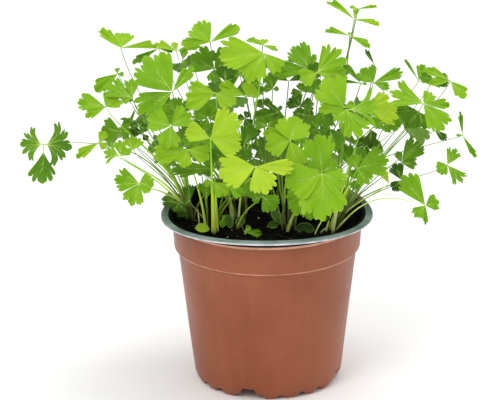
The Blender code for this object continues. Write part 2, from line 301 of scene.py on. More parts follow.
def lip_wave(angle, height):
    """How far the thin lip springs up at the front and back and down at the sides."""
    return -LIP_WAVE * math.cos(2 * angle) * smooth((height - LIP_FOOT) / LIP_WAVE_RISE)


def make_pot():
    """The section of the sheet, turned: up the inside from the centre, over the lip and down the outside."""
    outside = drawn(POT_OUTSIDE, OUTER_ROUNDING)
    inside = drawn(offset_line(POT_OUTSIDE, WALL), INNER_ROUNDING)[::-1]
    top, low, rim = LIP_TOP, LIP_TOP - LIP_DROP, RIM_RADIUS
    neck = inside[-1][0]
    shoulder = [(0.05, -3.2), (0.25, -1.6), (0.7, -0.6), (1.5, 0.0)]
    shoulder = [(neck + out, top + up) for out, up in shoulder]
    lip = [(61.2, top + 0.1), (rim - 1.4, top), (rim - 0.5, top - 0.1), (rim - 0.15, top - 0.3)]
    edge = [(-0.1, CUT_EDGE), (0.12, CUT_EDGE - 0.1), (0.15, 0.2), (0.0, 0.0)]
    edge = [(rim + out, low + up) for out, up in edge]
    under = [(rim - 0.6, low), (rim - WALL, low + 0.3), (rim - WALL - 0.3, top - WALL)]
    under += [(60.8, top - WALL), (59.4, top - WALL - 0.6)] + UNDER_LIP
    profile = inside + shoulder + lip + edge + under + outside
    kinds = [INSIDE] * (len(inside) + len(shoulder)) + [LIP] * len(lip) + [EDGE] * (len(edge) - 1)
    # The wall just under the lip takes the painted shadow, and below it the rubbed line.
    kinds += [LIP_SHADOW] * len(under) + [RUBBED] + [OUTSIDE] * (len(outside) - 1)
    vertices = []
    for index, (radius, height) in enumerate(profile):
        for side in range(POT_SIDES):
            angle = math.tau * side / POT_SIDES
            outer_radius = radius + WALL if index < len(inside) else radius
            lift = foot_rise(angle, outer_radius, height) + lip_wave(angle, height)
            far = radius - wall_shift(angle, height)
            vertices.append((far * math.cos(angle), far * math.sin(angle), height + lift))
    faces = ring_faces(len(profile), POT_SIDES)
    slots = [kind for kind in kinds for _ in range(POT_SIDES)]
    for ring, height, kind in ((0, WALL, INSIDE), (len(profile) - 1, 0.0, OUTSIDE)):
        faces += cap_faces(ring * POT_SIDES, POT_SIDES, len(vertices), flip=kind == INSIDE)
        slots += [kind] * POT_SIDES
        vertices.append((0.0, 0.0, height))
    return (vertices, faces), slots


def terracotta_plastic():
    """Satin sheet: slow mottling, fine drawn lines down the wall, scuffs, and a painted highlight on the
    ledge.
    """
    skin = Finish("terracotta_plastic", 0.42, Specular_IOR_Level=0.4)
    mottle = skin.noise(22.0, 3.0)
    base = skin.ramp(mottle, (0.30, (129, 63, 31)), (0.52, (139, 71, 38)), (0.72, (147, 79, 45)))
    streaks = skin.noise(160.0, 3.0, stretch=(1.0, 1.0, 0.08))
    base = skin.mix(skin.ramp(streaks, (0.45, 0.0), (0.75, 0.22)), base, (158, 92, 60))
    scuffs = skin.noise(260.0, 6.0, 0.75, (1.0, 1.0, 3.0))
    base = skin.mix(skin.ramp(scuffs, (0.62, 0.0), (0.72, 0.35)), base, (176, 116, 86))
    # Painted highlight: a pale band where the ledge's top edge would catch the light, broken in patches by
    # noise.
    ledge_highlight = skin.ramp(skin.span("Z", 0.080, 0.110), (0.215, 0.0), (0.225, 0.75), (0.25, 0.75), (0.262, 0.0))
    patchy = skin.ramp(skin.noise(70.0), (0.34, 0.25), (0.62, 1.0))
    base = skin.mix(skin.mix(1.0, ledge_highlight, patchy, "MULTIPLY"), base, (226, 168, 136))
    skin.fill(skin.shader.inputs["Roughness"], skin.ramp(skin.noise(90.0), (0.3, 0.34), (0.7, 0.48)))
    skin.bump(skin.mix(0.5, streaks, scuffs), 0.12, 0.0004)
    return skin.painted(base)


def shaded_green_plastic(name, tones, dust_tone, roughness, shine, back_shade):
    """The sheet's inner layer in three tones, with dust in its grain.

    The last argument is how dark its back half is painted: painted shade.
    """
    skin = Finish(name, roughness, Specular_IOR_Level=shine)
    base = skin.ramp(skin.noise(45.0), *zip((0.32, 0.52, 0.72), tones))
    dust = skin.noise(420.0, 6.0, 0.7)
    base = skin.mix(skin.ramp(dust, (0.58, 0.0), (0.75, 0.6)), base, dust_tone)
    # Painted shade: the back half darkens toward near black.
    rearward = skin.span("Y", -0.010, 0.020)
    base = skin.mix(skin.ramp(rearward, (0.0, 0.0), (1.0, back_shade)), base, (16, 20, 15))
    rough = skin.ramp(skin.noise(140.0), (0.3, roughness - 0.08), (0.7, roughness + 0.1))
    skin.fill(skin.shader.inputs["Roughness"], rough)
    skin.bump(dust, 0.10, 0.0004)
    return skin.painted(base)


def plain_plastic(name, plain_tone, roughness, patch_share):
    """One tone, broken in patches by the bare wall's own colour; under the lip the tone is a painted shadow.
    """
    skin = Finish(name, roughness)
    patchy = skin.ramp(skin.noise(150.0), (0.35, 0.0), (0.65, patch_share))
    return skin.painted(skin.mix(patchy, plain_tone, (150, 84, 54)))


# Painted shade: the inside is the lip's green layer, given near-black tones and dark dust where the lip has
# pale ones.
shaded_inner_tones = ((3, 6, 5), (6, 11, 9), (11, 18, 15))
lip_tones = ((80, 100, 96), (128, 147, 143), (158, 173, 170))
pot_materials = [
    terracotta_plastic(),
    shaded_green_plastic("shaded_green_plastic", shaded_inner_tones, (22, 25, 20), 0.7, 0.05, 0.3),
    shaded_green_plastic("green_lip", lip_tones, (150, 160, 152), 0.4, 0.5, 0.85),
    mottled("cut_edge", 0.5, 130.0, (0.3, (136, 146, 146)), (0.6, (214, 215, 220))),
    # Painted shadow: the wall just under the lip is near black, where the lip's shade falls.
    plain_plastic("painted_shadow_under_lip", (8, 5, 4), 0.9, 0.1),
    plain_plastic("rubbed_under_lip", (222, 164, 134), 0.45, 0.5),
]
pot_shape, pot_slots = make_pot()
pot = new_piece("nursery_pot", pot_shape, pot_materials, pot_slots, POT_SHARP_FOLD)
(channel_outside, channel_height), (channel_inside, _) = CHANNEL_LINE
channel_middle = (channel_outside + channel_inside) / 2
drill_size = {"radius1": DRAIN_HOLE_RADIUS * MM, "radius2": DRAIN_HOLE_RADIUS * MM, "depth": DRILL_LENGTH * MM}
drill = bmesh.new()
for hole in range(DRAIN_HOLES):
    turn = math.tau * (hole + 0.5) / DRAIN_HOLES
    x, y = channel_middle * math.cos(turn), channel_middle * math.sin(turn)
    spot = Matrix.Translation(Vector((x, y, channel_height)) * MM)
    bmesh.ops.create_cone(drill, cap_ends=True, segments=DRAIN_HOLE_SIDES, matrix=spot, **drill_size)
drill_mesh = bpy.data.meshes.new("drain_holes")
drill.to_mesh(drill_mesh)
drill.free()
cutter = add_object("drain_holes", drill_mesh)
holes = pot.modifiers.new("drain_holes", "BOOLEAN")
holes.object = cutter
holes.operation = "DIFFERENCE"
holes.solver = "EXACT"
drilled = pot.evaluated_get(bpy.context.evaluated_depsgraph_get())
drilled_mesh = bpy.data.meshes.new_from_object(drilled)
pot.modifiers.remove(holes)
pot.data = drilled_mesh
bpy.data.objects.remove(cutter)
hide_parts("pot")


# ---- Compost ----
# A block of dark moist peat that fills the pot to 10 mm below the rim. Its top is loose and banks up a
# little against the wall. Crumbs, coir fibres and a few pale specks of grit lie on it.
SOIL_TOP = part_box("soil")[1].z / MM
SOIL_RADIUS = 57.0
SOIL_SIDES = 160
SOIL_RINGS = 56
SOIL_SIDE = [(SOIL_RADIUS, 97.0), (56.4, 89.0), (54.1, 87.4), (45.0, 12.0), (36.4, 6.4)]
SOIL_SETTLED = 0.4
BANK_FROM = 0.9
BANK_SLOPE = 9.0
CRUMBS = 620
FIBRES = 70
FIBRE_STEPS = 8
FIBRE_SIDES = 4
GRIT = 30

# The lumps of the loose top, from broad to fine: width, height, and a shift that keeps them from lining up.
SOIL_LUMPS = [(17.0, 1.3, (0, 0, 0)), (6.0, 0.9, (9, 0, 0)), (2.4, 0.55, (0, 5, 0)), (1.1, 0.3, (0, 0, 0))]


def soil_height(x, y):
    """Height of the loose top at a place."""
    spot = Vector((x, y, 0.0))
    lumps = sum(rise * noise.noise(spot / width + Vector(shift)) for width, rise, shift in SOIL_LUMPS)
    bank = BANK_SLOPE * max(0.0, math.hypot(x, y) / SOIL_RADIUS - BANK_FROM)
    return SOIL_TOP + lumps - SOIL_SETTLED + bank


def make_soil():
    """The block of compost: rings of its loose top from the middle outward, and then down its side."""
    vertices = []
    for ring in range(1, SOIL_RINGS + 1):
        radius = SOIL_RADIUS * ring / SOIL_RINGS
        for side in range(SOIL_SIDES):
            angle = math.tau * (side + 0.5 * (ring % 2)) / SOIL_SIDES
            x, y = radius * math.cos(angle), radius * math.sin(angle)
            vertices.append((x, y, soil_height(x, y)))
    for radius, height in SOIL_SIDE:
        for side in range(SOIL_SIDES):
            angle = math.tau * side / SOIL_SIDES
            vertices.append((radius * math.cos(angle), radius * math.sin(angle), height))
    count = len(vertices)
    faces = ring_faces(count // SOIL_SIDES, SOIL_SIDES, flip=True)
    faces += cap_faces(0, SOIL_SIDES, count)
    faces += cap_faces(count - SOIL_SIDES, SOIL_SIDES, count + 1, flip=True)
    return vertices + [(0.0, 0.0, soil_height(0.0, 0.0)), (0.0, 0.0, SOIL_SIDE[-1][1])], faces


def peat():
    """Near-black peat with brown and grey grains."""
    skin = Finish("peat", 0.92, Specular_IOR_Level=0.08)
    grain = skin.noise(900.0, 6.0, 0.7)
    base = skin.ramp(grain, (0.35, (5, 5, 4)), (0.55, (13, 12, 9)), (0.72, (30, 26, 19)))
    flecks = skin.node("TexVoronoi", Vector=skin.place, Scale=520.0).outputs["Distance"]
    base = skin.mix(skin.ramp(flecks, (0.05, 0.4), (0.12, 0.0)), base, (64, 60, 46))
    skin.bump(grain, 0.8, 0.0012)
    return skin.painted(base)


def random_spot(rng, limit=SOIL_RADIUS - 2.0):
    """A place on the compost, even over its area."""
    radius = limit * math.sqrt(rng.random())
    angle = rng.uniform(0.0, math.tau)
    return radius * math.cos(angle), radius * math.sin(angle)


def join_shapes(shapes):
    """Several (vertices, faces) as one."""
    vertices = []
    faces = []
    for points, corners in shapes:
        first = len(vertices)
        vertices += list(points)
        faces += [tuple(first + c for c in corner) for corner in corners]
    return vertices, faces


def make_lump(rng, size, flatness, detail):
    """A broken, uneven lump around the origin, longer than it is wide."""
    ball = bmesh.new()
    bmesh.ops.create_icosphere(ball, subdivisions=detail, radius=size)
    shift = Vector((rng.uniform(0, 99), rng.uniform(0, 99), rng.uniform(0, 99)))
    turn = Matrix.Rotation(rng.uniform(0, math.tau), 3, "Z") @ Matrix.Rotation(rng.uniform(-0.6, 0.6), 3, "X")
    points = []
    for vertex in ball.verts:
        broad = noise.noise(vertex.co * 1.1 / size + shift)
        fine = noise.noise(vertex.co * 3.0 / size + shift)
        point = vertex.co * (1.0 + 0.55 * broad + 0.25 * fine)
        point.x *= 1.35
        point.z *= flatness
        points.append(turn @ point)
    faces = [tuple(v.index for v in f.verts) for f in ball.faces]
    ball.free()
    return points, faces


def scatter(rng, count, sizes, flatness, detail, lift):
    """Lumps strewn over the compost, each with its middle lifted above it by a share of its size."""
    lumps = []
    for _ in range(count):
        x, y = random_spot(rng)
        size = rng.uniform(*sizes)
        points, faces = make_lump(rng, size, flatness, detail)
        spot = Vector((x, y, soil_height(x, y) + size * lift))
        lumps.append(([spot + p for p in points], faces))
    return join_shapes(lumps)


def tube(path, radii, sides, flat=1.0):
    """A tube along a path, closed at both ends; flat presses it in one direction."""
    path = [Vector(p) for p in path]
    vertices = []
    across = (path[-1] - path[0]).cross(Vector((0.13, 0.21, 1.0))).normalized()
    for index, point in enumerate(path):
        along = (path[min(index + 1, len(path) - 1)] - path[max(index - 1, 0)]).normalized()
        across = (across - along * along.dot(across)).normalized()
        up = along.cross(across)
        for side in range(sides):
            angle = math.tau * side / sides
            vertices.append(point + (across * math.cos(angle) + up * math.sin(angle) * flat) * radii[index])
    count = len(vertices)
    faces = ring_faces(len(path), sides)
    faces += cap_faces(0, sides, count, flip=True) + cap_faces(count - sides, sides, count + 1)
    return vertices + [path[0], path[-1]], faces


def make_fibres(rng):
    """Coir fibres that wander over the compost."""
    shapes = []
    for _ in range(FIBRES):
        x, y = random_spot(rng, SOIL_RADIUS - 6.0)
        heading = rng.uniform(0, math.tau)
        bend = rng.uniform(-0.25, 0.25)
        step = rng.uniform(0.5, 1.5)
        path = []
        for _ in range(FIBRE_STEPS):
            path.append((x, y, soil_height(x, y) + rng.uniform(0.15, 0.7)))
            heading += bend + rng.uniform(-0.15, 0.15)
            x, y = x + step * math.cos(heading), y + step * math.sin(heading)
        thick = rng.uniform(0.10, 0.26)
        shapes.append(tube(path, [thick * 0.6] + [thick] * (FIBRE_STEPS - 2) + [thick * 0.5], FIBRE_SIDES))
    return join_shapes(shapes)


peat_material = peat()
fibre = mottled("coir_fibre", 0.8, 60.0, (0.35, (30, 25, 16)), (0.65, (78, 66, 46)))
grit = mottled("pale_grit", 0.8, 120.0, (0.3, (120, 116, 104)), (0.7, (206, 204, 196)))
soil = new_piece("compost", make_soil(), [peat_material])
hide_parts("soil")
rng = random.Random(4)
crumb_shape = scatter(rng, CRUMBS, sizes=(0.5, 1.9), flatness=0.7, detail=2, lift=0.15)
crumbs = new_piece("compost_crumbs", crumb_shape, [peat_material])
fibres = new_piece("compost_fibres", make_fibres(rng), [fibre])
speck_shape = scatter(rng, GRIT, sizes=(0.35, 0.95), flatness=0.8, detail=1, lift=0.4)
specks = new_piece("compost_grit", speck_shape, [grit])


# ---- Stalks ----
# Each root crown grew as one piece: a short neck in the compost, and petioles that leave it steeply, arch
# over and end where the leaflets of a blade join. They are juicy and yellow-green. The outer ones are pale
# at the foot and stand a little aside from their crown.
CROWNS = {
    1: (-46, 25),
    2: (-46, 10),
    3: (-34, -8),
    4: (-17, 8),
    5: (13, -8),
    6: (41, -8),
    7: (44, 10),
    8: (3, 26),
    9: (-20, 42),
    10: (26, 38),
}
CROWN_PROFILE = [(5.0, -3.0), (4.6, -1.2), (3.6, -0.2), (2.2, 0.4), (1.0, 0.6)]
CROWN_SIDES = 20
PETIOLE_STEPS = 26
PETIOLE_SIDES = 10
PETIOLE_TIP = 0.30
PETIOLE_FLATNESS = 0.7
PETIOLE_RADII = (0.6, 0.95)
PETIOLE_HOLD = 0.30
FLAT_PETIOLE_HOLD = 0.55
PETIOLE_TAPER = 1.4
STEEPNESS = 0.9
LEAVING_HOLD = 0.38
ALONG_REACH = 0.8
ALONG_NORMAL = 0.6
FOOT_SPREAD = 4.0
FOOT_SINK = 1.2
OUTER_STALKS = 1.0
INNER_STALKS = (0.0, 0.35)

# A leaf tilts by an angle toward the way it leans, the front for most. Its tint runs from 0, old and dark,
# to 100, young and yellow; the low values are partly painted shade, for leaves that lie under the canopy.
# Each leaflet has its direction before the blade tilts, its length, the half angle of its fan, and its cut
# where it isn't blunt-toothed: s split into three lobes, d deeply divided, w nearly whole, t toothed and on
# a longer stalk.
Leaf = namedtuple("Leaf", "crown x y z tilt tint lean leaflets")
FORWARD = -90
ASKEW = {1: -95, 8: -110}

# Leaves at the front: crown, place where the leaflets join, tilt, tint, and leaflets counter-clockwise.
FRONT_LEAVES = [
    (1, -137, -5, 155, 60, 32, (174, 15, 60, "d"), (266, 25, 30, "t"), (352, 18, 64, "d")),
    (1, -89, 10, 212, 25, 68, (1, 22, 9, "w"), (77, 14, 32, "w"), (133, 20, 15, "w")),
    (4, -66, 21, 208, 50, 38, (118, 3, 30), (212, 19, 9, "w"), (344, 9, 12, "w")),
    (2, -57, -20, 193, 60, 52, (51, 20, 14, "w"), (131, 28, 35), (210, 25, 23)),
    (1, -98, -15, 182, 50, 58, (46, 11, 46), (167, 18, 22), (209, 14, 15, "w")),
    (1, -91, 8, 196, 50, 55, (99, 4, 30), (220, 18, 18, "w"), (344, 4, 30)),
    (2, -82, -13, 187, 50, 50, (91, 13, 24), (151, 19, 24, "s"), (206, 7, 24)),
    (1, -90, 4, 160, 55, 38, (41, 10, 18, "w"), (163, 13, 42), (337, 7, 40)),
    (2, -89, -25, 154, 60, 60, (35, 7, 30), (94, 10, 28), (167, 11, 44, "d")),
    (1, -103, -5, 156, 55, 72, (60, 8, 28), (215, 17, 13, "w"), (318, 6, 30)),
    (2, -78, -25, 136, 62, 55, (170, 16, 32, "s"), (248, 15, 32), (355, 9, 56)),
    (4, -34, 10, 215, 50, 62, (30, 21, 13, "w"), (129, 16, 36), (183, 18, 13, "w")),
    (4, -55, 15, 208, 35, 75, (14, 15, 14, "w"), (104, 7, 24, "w"), (155, 15, 14, "w")),
    (8, -32, 25, 193, 55, 42, (28, 17, 44), (149, 17, 38), (271, 9, 36)),
    (4, -1, -10, 214, 45, 66, (186, 28, 28), (242, 22, 28), (305, 17, 22)),
    (8, 28, 8, 197, 50, 45, (80, 11, 13, "w"), (125, 20, 27), (181, 26, 17)),
    (5, 31, -19, 204, 58, 60, (46, 21, 28, "s"), (205, 12, 36), (347, 19, 22)),
    (10, 54, 0, 232, 25, 68, (79, 10, 14, "w"), (132, 24, 8, "w"), (341, 16, 11, "w")),
    (6, 51, -5, 223, 25, 60, (90, 3, 30), (160, 16, 10, "w"), (318, 16, 13, "w")),
    (7, 66, 10, 188, 50, 50, (20, 20, 13), (126, 12, 42), (338, 11, 20)),
    (5, 47, -38, 188, 60, 62, (20, 7, 26), (126, 22, 37), (182, 16, 18)),
    (6, 61, -24, 182, 55, 85, (30, 16, 22), (109, 6, 30), (345, 20, 22)),
    (5, 14, -44, 169, 58, 60, (75, 16, 56), (197, 16, 36), (289, 19, 28)),
    (6, 33, -65, 155, 60, 58, (200, 23, 34), (270, 29, 34), (333, 16, 32)),
    (5, 33, -55, 153, 62, 50, (28, 11, 34), (95, 23, 30), (164, 11, 32)),
    (3, -7, -68, 161, 50, 88, (195, 23, 34), (292, 19, 32), (355, 23, 15)),
    (4, -3, -50, 136, 60, 42, (139, 9, 32), (205, 7, 30), (314, 12, 42)),
    (3, -34, -50, 173, 48, 80, (46, 23, 26), (164, 16, 28), (340, 20, 30)),
    (3, -58, -35, 176, 55, 58, (34, 15, 34), (159, 15, 38), (262, 14, 36)),
    (3, -48, -38, 162, 50, 65, (194, 21, 24), (253, 12, 30), (340, 15, 28)),
    (4, -31, -20, 192, 42, 66, (166, 17, 19), (210, 21, 20), (326, 15, 38)),
    (6, 55, -35, 148, 60, 50, (14, 20, 32), (114, 9, 40), (304, 12, 34)),
    (7, 113, 0, 192, 40, 60, (150, 18, 13, "w"), (189, 14, 16, "w"), (304, 15, 20, "w")),
    (6, 95, -32, 188, 55, 58, (53, 9, 32), (160, 22, 24, "s"), (305, 21, 26), (356, 16, 15, "w")),
    (7, 83, -5, 141, 60, 35, (48, 18, 26), (111, 8, 24), (353, 10, 26)),
    (7, 111, -10, 141, 60, 50, (62, 12, 26, "s"), (215, 8, 48), (309, 15, 20, "s")),
    (10, 121, 5, 155, 75, 50, (96, 15, 7, "w"), (179, 4, 20, "w"), (301, 16, 8, "w")),
    (6, 97, -25, 120, 60, 50, (18, 9, 42), (126, 24, 21), (226, 10, 30), (269, 12, 9, "w")),
    (6, 48, -46, 189, 60, 55, (4, 21, 32, "d"), (220, 10, 42), (296, 19, 28, "s")),
]

# Leaves at the back: crown, place, tilt, tint, lean, and the direction and length of the middle leaflet.
BACK_LEAVES = [
    (9, -60, 55, 154, 40, 45, 120, 130, 24),
    (9, -22, 78, 158, 45, 45, 100, 100, 25),
    (10, 15, 80, 139, 45, 45, 80, 80, 25),
    (10, 57, 62, 151, 40, 45, 50, 45, 24),
    (9, -85, 45, 150, 45, 40, 140, 150, 22),
    (10, 85, 45, 150, 45, 40, 40, 30, 22),
    (8, -10, 50, 185, 30, 40, 90, 95, 25),
    (10, 35, 45, 188, 30, 40, 60, 60, 24),
    (9, -45, 45, 190, 25, 40, 120, 120, 22),
]

# Smaller leaves among those at the front, and then among those at the back.
SMALL_LEAVES = [
    (5, 13, -36, 167, 50, 62, (99, 5, 30), (164, 16, 18, "w")),
    (10, 94, 10, 189, 45, 50, (76, 12, 20, "w"), (120, 17, 4, "w"), (348, 17, 11, "w")),
    (6, 93, -20, 179, 60, 25, (175, 17, 18), (228, 14, 30), (287, 12, 30)),
    (8, -12, 0, 183, 45, 72, (21, 9, 30), (85, 10, 26), (155, 19, 14)),
    (10, 58, 0, 191, 30, 42, (124, 20, 9, "w"), (174, 12, 8, "w"), (346, 4, 20, "w")),
    (7, 67, 14, 198, 50, 15, (118, 12, 8, "w")),
    (4, -2, 0, 216, 20, 60, (93, 6, 50), (150, 11, 18, "w"), (327, 11, 14, "w")),
    (8, 21, 20, 170, 55, 30, (10, 9, 34), (109, 9, 30), (164, 9, 30), (270, 5, 30)),
    (5, 7, 5, 171, 50, 30, (61, 5, 20, "w"), (136, 13, 14), (201, 14, 26)),
    (4, -25, 12, 189, 65, 15, (20, 7, 30), (91, 11, 40)),
    (3, -37, -20, 124, 60, 40, (94, 11, 32)),
    (2, -33, -30, 138, 55, 62, (190, 6, 30), (316, 12, 32)),
    (4, -25, -40, 142, 60, 55, (329, 15, 28)),
    (3, -10, -45, 146, 60, 36, (230, 9, 26), (287, 14, 28)),
    (3, -32, -30, 147, 55, 36, (128, 9, 30), (182, 27, 14)),
    (3, -21, -35, 154, 55, 28, (30, 10, 36), (164, 16, 20)),
    (4, -14, -15, 156, 60, 25, (70, 15, 26), (279, 10, 34)),
    (5, 23, -45, 134, 60, 50, (185, 12, 24), (240, 14, 34)),
    (6, 52, -8, 139, 60, 30, (60, 9, 20), (109, 16, 22)),
    (5, 34, -25, 186, 60, 30, (277, 17, 28), (339, 7, 30)),
    (5, 38, -30, 172, 60, 26, (287, 14, 42)),
    (6, 64, -15, 166, 65, 12, (265, 12, 28), (299, 6, 20)),
    (7, 83, -12, 132, 60, 8, (114, 12, 28), (228, 9, 32)),
    (6, 75, -15, 131, 60, 95, (117, 9, 20)),
    (6, 102, -25, 169, 60, 12, (317, 10, 18)),
    (1, -55, 8, 111, 60, 20, (162, 11, 30), (240, 6, 36), (309, 6, 36)),
    (1, -80, 0, 168, 30, 45, (173, 10, 8, "w"), (222, 10, 12, "w")),
    (1, -76, 5, 158, 60, 8, (164, 9, 26), (299, 5, 30)),
    (1, -82, -5, 151, 50, 72, (61, 9, 30), (118, 9, 26), (190, 4, 30)),
    (1, -84, 8, 153, 50, 35, (61, 8, 28), (148, 6, 26)),
    (4, -41, 15, 177, 60, 45, (299, 13, 34)),
    (4, -53, 10, 170, 60, 40, (119, 10, 34), (200, 12, 30)),
    (5, 22, 15, 181, 60, 40, (30, 14, 34), (104, 6, 30), (190, 7, 30)),
    (8, -16, 20, 191, 60, 40, (99, 10, 34), (200, 11, 34), (339, 12, 30)),
    (8, -2, 15, 186, 50, 50, (61, 5, 24), (169, 9, 22)),
    (7, 70, 5, 152, 60, 20, (200, 7, 26), (260, 9, 24)),
    (4, -36, 0, 169, 60, 42, (20, 9, 36), (149, 10, 36), (250, 7, 36)),
    (3, -43, -10, 158, 55, 50, (179, 9, 34), (250, 5, 40), (359, 13, 20)),
    (4, -13, 0, 169, 60, 12, (60, 5, 40), (179, 5, 40), (299, 6, 40)),
    (8, -2, 10, 172, 60, 30, (129, 7, 30), (240, 7, 30), (309, 10, 30)),
    (5, 1, -10, 167, 60, 35, (60, 6, 30), (159, 9, 36), (339, 10, 36)),
    (5, 22, -20, 163, 60, 50, (119, 7, 40), (200, 6, 40), (299, 7, 40)),
    (5, 23, 0, 171, 60, 20, (169, 7, 36), (270, 6, 36), (349, 7, 36)),
    (5, 42, -10, 187, 60, 55, (177, 13, 34), (250, 7, 36), (299, 9, 36)),
    (6, 48, -30, 175, 60, 62, (60, 6, 40), (210, 5, 36), (279, 8, 34)),
    (6, 73, -10, 169, 60, 45, (179, 9, 36), (289, 7, 40), (349, 10, 36)),
    (10, 61, 5, 149, 60, 15, (20, 7, 36), (149, 7, 36), (260, 6, 40)),
    (6, 58, -25, 150, 60, 40, (99, 7, 40), (220, 7, 40), (339, 6, 40)),
    (6, 55, -30, 139, 60, 40, (119, 7, 36), (250, 7, 36)),
    (5, 27, -40, 128, 60, 50, (200, 9, 36), (265, 11, 40), (329, 9, 36)),
    (4, -41, -15, 141, 60, 30, (179, 7, 36), (270, 4, 30), (359, 9, 36)),
    (4, -39, -10, 148, 60, 35, (149, 6, 40), (339, 7, 40)),
    (2, -61, -5, 180, 60, 50, (159, 6, 40), (250, 5, 40), (359, 7, 40)),
    (2, -85, -10, 188, 60, 40, (60, 5, 40), (200, 5, 40), (299, 5, 40)),
    (1, -78, -5, 166, 60, 15, (70, 4, 36), (169, 6, 36), (339, 6, 36)),
    (7, 103, 5, 192, 45, 30, (11, 9, 16), (177, 9, 30), (327, 10, 20)),
    (10, 56, 2, 238, 30, 66, (5, 12, 8, "w"), (164, 5, 22, "w")),
    (4, -14, -25, 104, 60, 45, (38, 5, 30), (299, 2, 36), (351, 11, 16)),
    (5, 31, -15, 167, 60, 30, (119, 9, 40), (200, 6, 36), (299, 6, 40)),
    (4, -51, 10, 204, 60, 50, (80, 7, 26), (289, 4, 36)),
    (5, -6, -10, 160, 60, 20, (99, 6, 40), (190, 4, 30), (274, 9, 30)),
    (8, 4, 5, 186, 60, 40, (5, 4, 30), (99, 11, 34), (171, 6, 34)),
    (8, 14, 12, 189, 60, 32, (20, 9, 18), (157, 8, 18)),
    (3, -48, 0, 115, 60, 20, (94, 11, 24), (200, 4, 30)),
    (5, 36, -38, 142, 60, 42, (94, 8, 40), (200, 6, 36), (339, 6, 36)),
    (8, 31, 2, 193, 60, 20, (88, 11, 40), (200, 5, 30)),
]
SMALL_BACK_LEAVES = [
    (9, -60, 62, 130, 60, 40, 112, 107, 19),
    (9, -42, 72, 131, 62, 52, 100, 102, 20),
    (9, -34, 56, 143, 45, 45, 95, 93, 19),
    (9, -24, 66, 125, 66, 38, 90, 95, 19),
    (8, 6, 62, 128, 52, 50, 92, 93, 19),
    (10, 22, 72, 119, 60, 42, 85, 82, 20),
    (10, 39, 66, 126, 60, 55, 70, 74, 19),
    (10, 31, 52, 139, 45, 36, 80, 80, 18),
    (8, 15, 45, 146, 36, 50, 90, 86, 18),
    (10, 58, 50, 134, 56, 44, 48, 51, 19),
    (9, -56, 40, 140, 52, 50, 150, 149, 16),
    (8, -8, 74, 118, 70, 46, 95, 90, 18),
]
SIDE_LEAFLET_TURN = 108
LEFT_SHORTER = 2


def back_leaf(crown, x, y, z, tilt, tint, lean, heading, length, halves=(40, 40, 40), right_shorter=2):
    """A leaf with a leaflet to either side of the middle one, each a little shorter."""
    middle = (heading, length, halves[0])
    left = ((heading + SIDE_LEAFLET_TURN) % 360, length - LEFT_SHORTER, halves[1])
    right = ((heading - SIDE_LEAFLET_TURN) % 360, length - right_shorter, halves[2])
    return Leaf(crown, x, y, z, tilt, tint, lean, sorted([middle, left, right]))


LEAVES = [Leaf(*row[:6], ASKEW.get(number, FORWARD), row[6:]) for number, row in enumerate(FRONT_LEAVES, 1)]
LEAVES += [back_leaf(*row) for row in BACK_LEAVES]
MODELLED = len(LEAVES)
LEAVES += [Leaf(*row[:6], FORWARD, row[6:]) for row in SMALL_LEAVES]
for number, row in enumerate(SMALL_BACK_LEAVES, 1):
    varied_halves = [34 + (4 * number + shift) % 7 for shift in (0, 5, 2)]
    LEAVES.append(back_leaf(*row, varied_halves, right_shorter=3))

# Petioles that are outer stalks too: the leaf, where the foot stands, and the radius there.
OUTER_PETIOLES = {
    5: (-47, 27, 1.8), 76: (-49, 23, 2.1), 11: (-50, 20, 1.2), 9: (-50, 23, 1.2),
    10: (-49, 17, 1.0), 29: (-48, 24, 1.8), 30: (-38, -5, 1.0), 28: (-33, -16, 1.6),
    63: (-31, -14, 1.3), 31: (-22, 6, 0.8), 61: (-21, 5, 0.9), 15: (-18, 4, 0.7),
    65: (-13, 18, 0.8), 27: (-19, -9, 0.7), 23: (10, 3, 0.9), 25: (12, -17, 1.1),
    66: (14, -8, 0.8), 32: (39, -12, 1.4), 22: (40, -18, 1.2), 70: (44, -2, 1.2),
    38: (42, -14, 0.95), 72: (43, 0, 0.85), 67: (36, -14, 0.9),
}
# Petioles that rise and then run out flat to their blades: the leaf, and the way it arrives.
FLAT_PETIOLES = {1: (-1.0, -0.1, -0.05), 38: (0.9, -0.1, -0.3)}

# Stalks broken off short: the crown, where the foot stands, where the stalk ends, and its radius.
BROKEN_STALKS = [
    (3, -42, 1, (-43, 3, 109), 0.7),
    (6, 29, -19, (34, -13, 107), 0.6),
    (6, 32, -16, (39, -12, 103), 0.7),
]
BROKEN_STEPS = 14
BROKEN_SINK = 1.0
BROKEN_TAPER = 0.4


def blade_turn(leaf):
    """The turn that tips a flat blade over toward the way it leans."""
    lean = math.radians(leaf.lean)
    hinge = Vector((-math.sin(lean), math.cos(lean), 0.0))
    return Matrix.Rotation(math.radians(leaf.tilt), 3, hinge)


def arch(start, end, arrive, hold, steps):
    """A stalk's line: it leaves steeply, and holds the direction it arrives in for a share of its length."""
    reach = end - start
    leave = (reach.normalized() + Vector((0.0, 0.0, STEEPNESS))).normalized()
    first_handle = start + leave * reach.length * LEAVING_HOLD
    last_handle = end - arrive.normalized() * reach.length * hold
    path = []
    for step in range(steps + 1):
        t = step / steps
        s = 1.0 - t
        path.append(start * s**3 + first_handle * 3 * s * s * t + last_handle * 3 * s * t * t + end * t**3)
    return path


def stalk_foot(rng, crown, end):
    """Where a stalk leaves its crown: on the side it grows to."""
    x, y = CROWNS[crown]
    outward = Vector((end.x - x, end.y - y, 0.0)).normalized()
    across = Vector((-outward.y, outward.x, 0.0))
    foot = Vector((x, y, 0.0)) + outward * FOOT_SPREAD * rng.uniform(0.1, 1.0)
    foot += across * FOOT_SPREAD * rng.uniform(-0.9, 0.9)
    return foot.x, foot.y


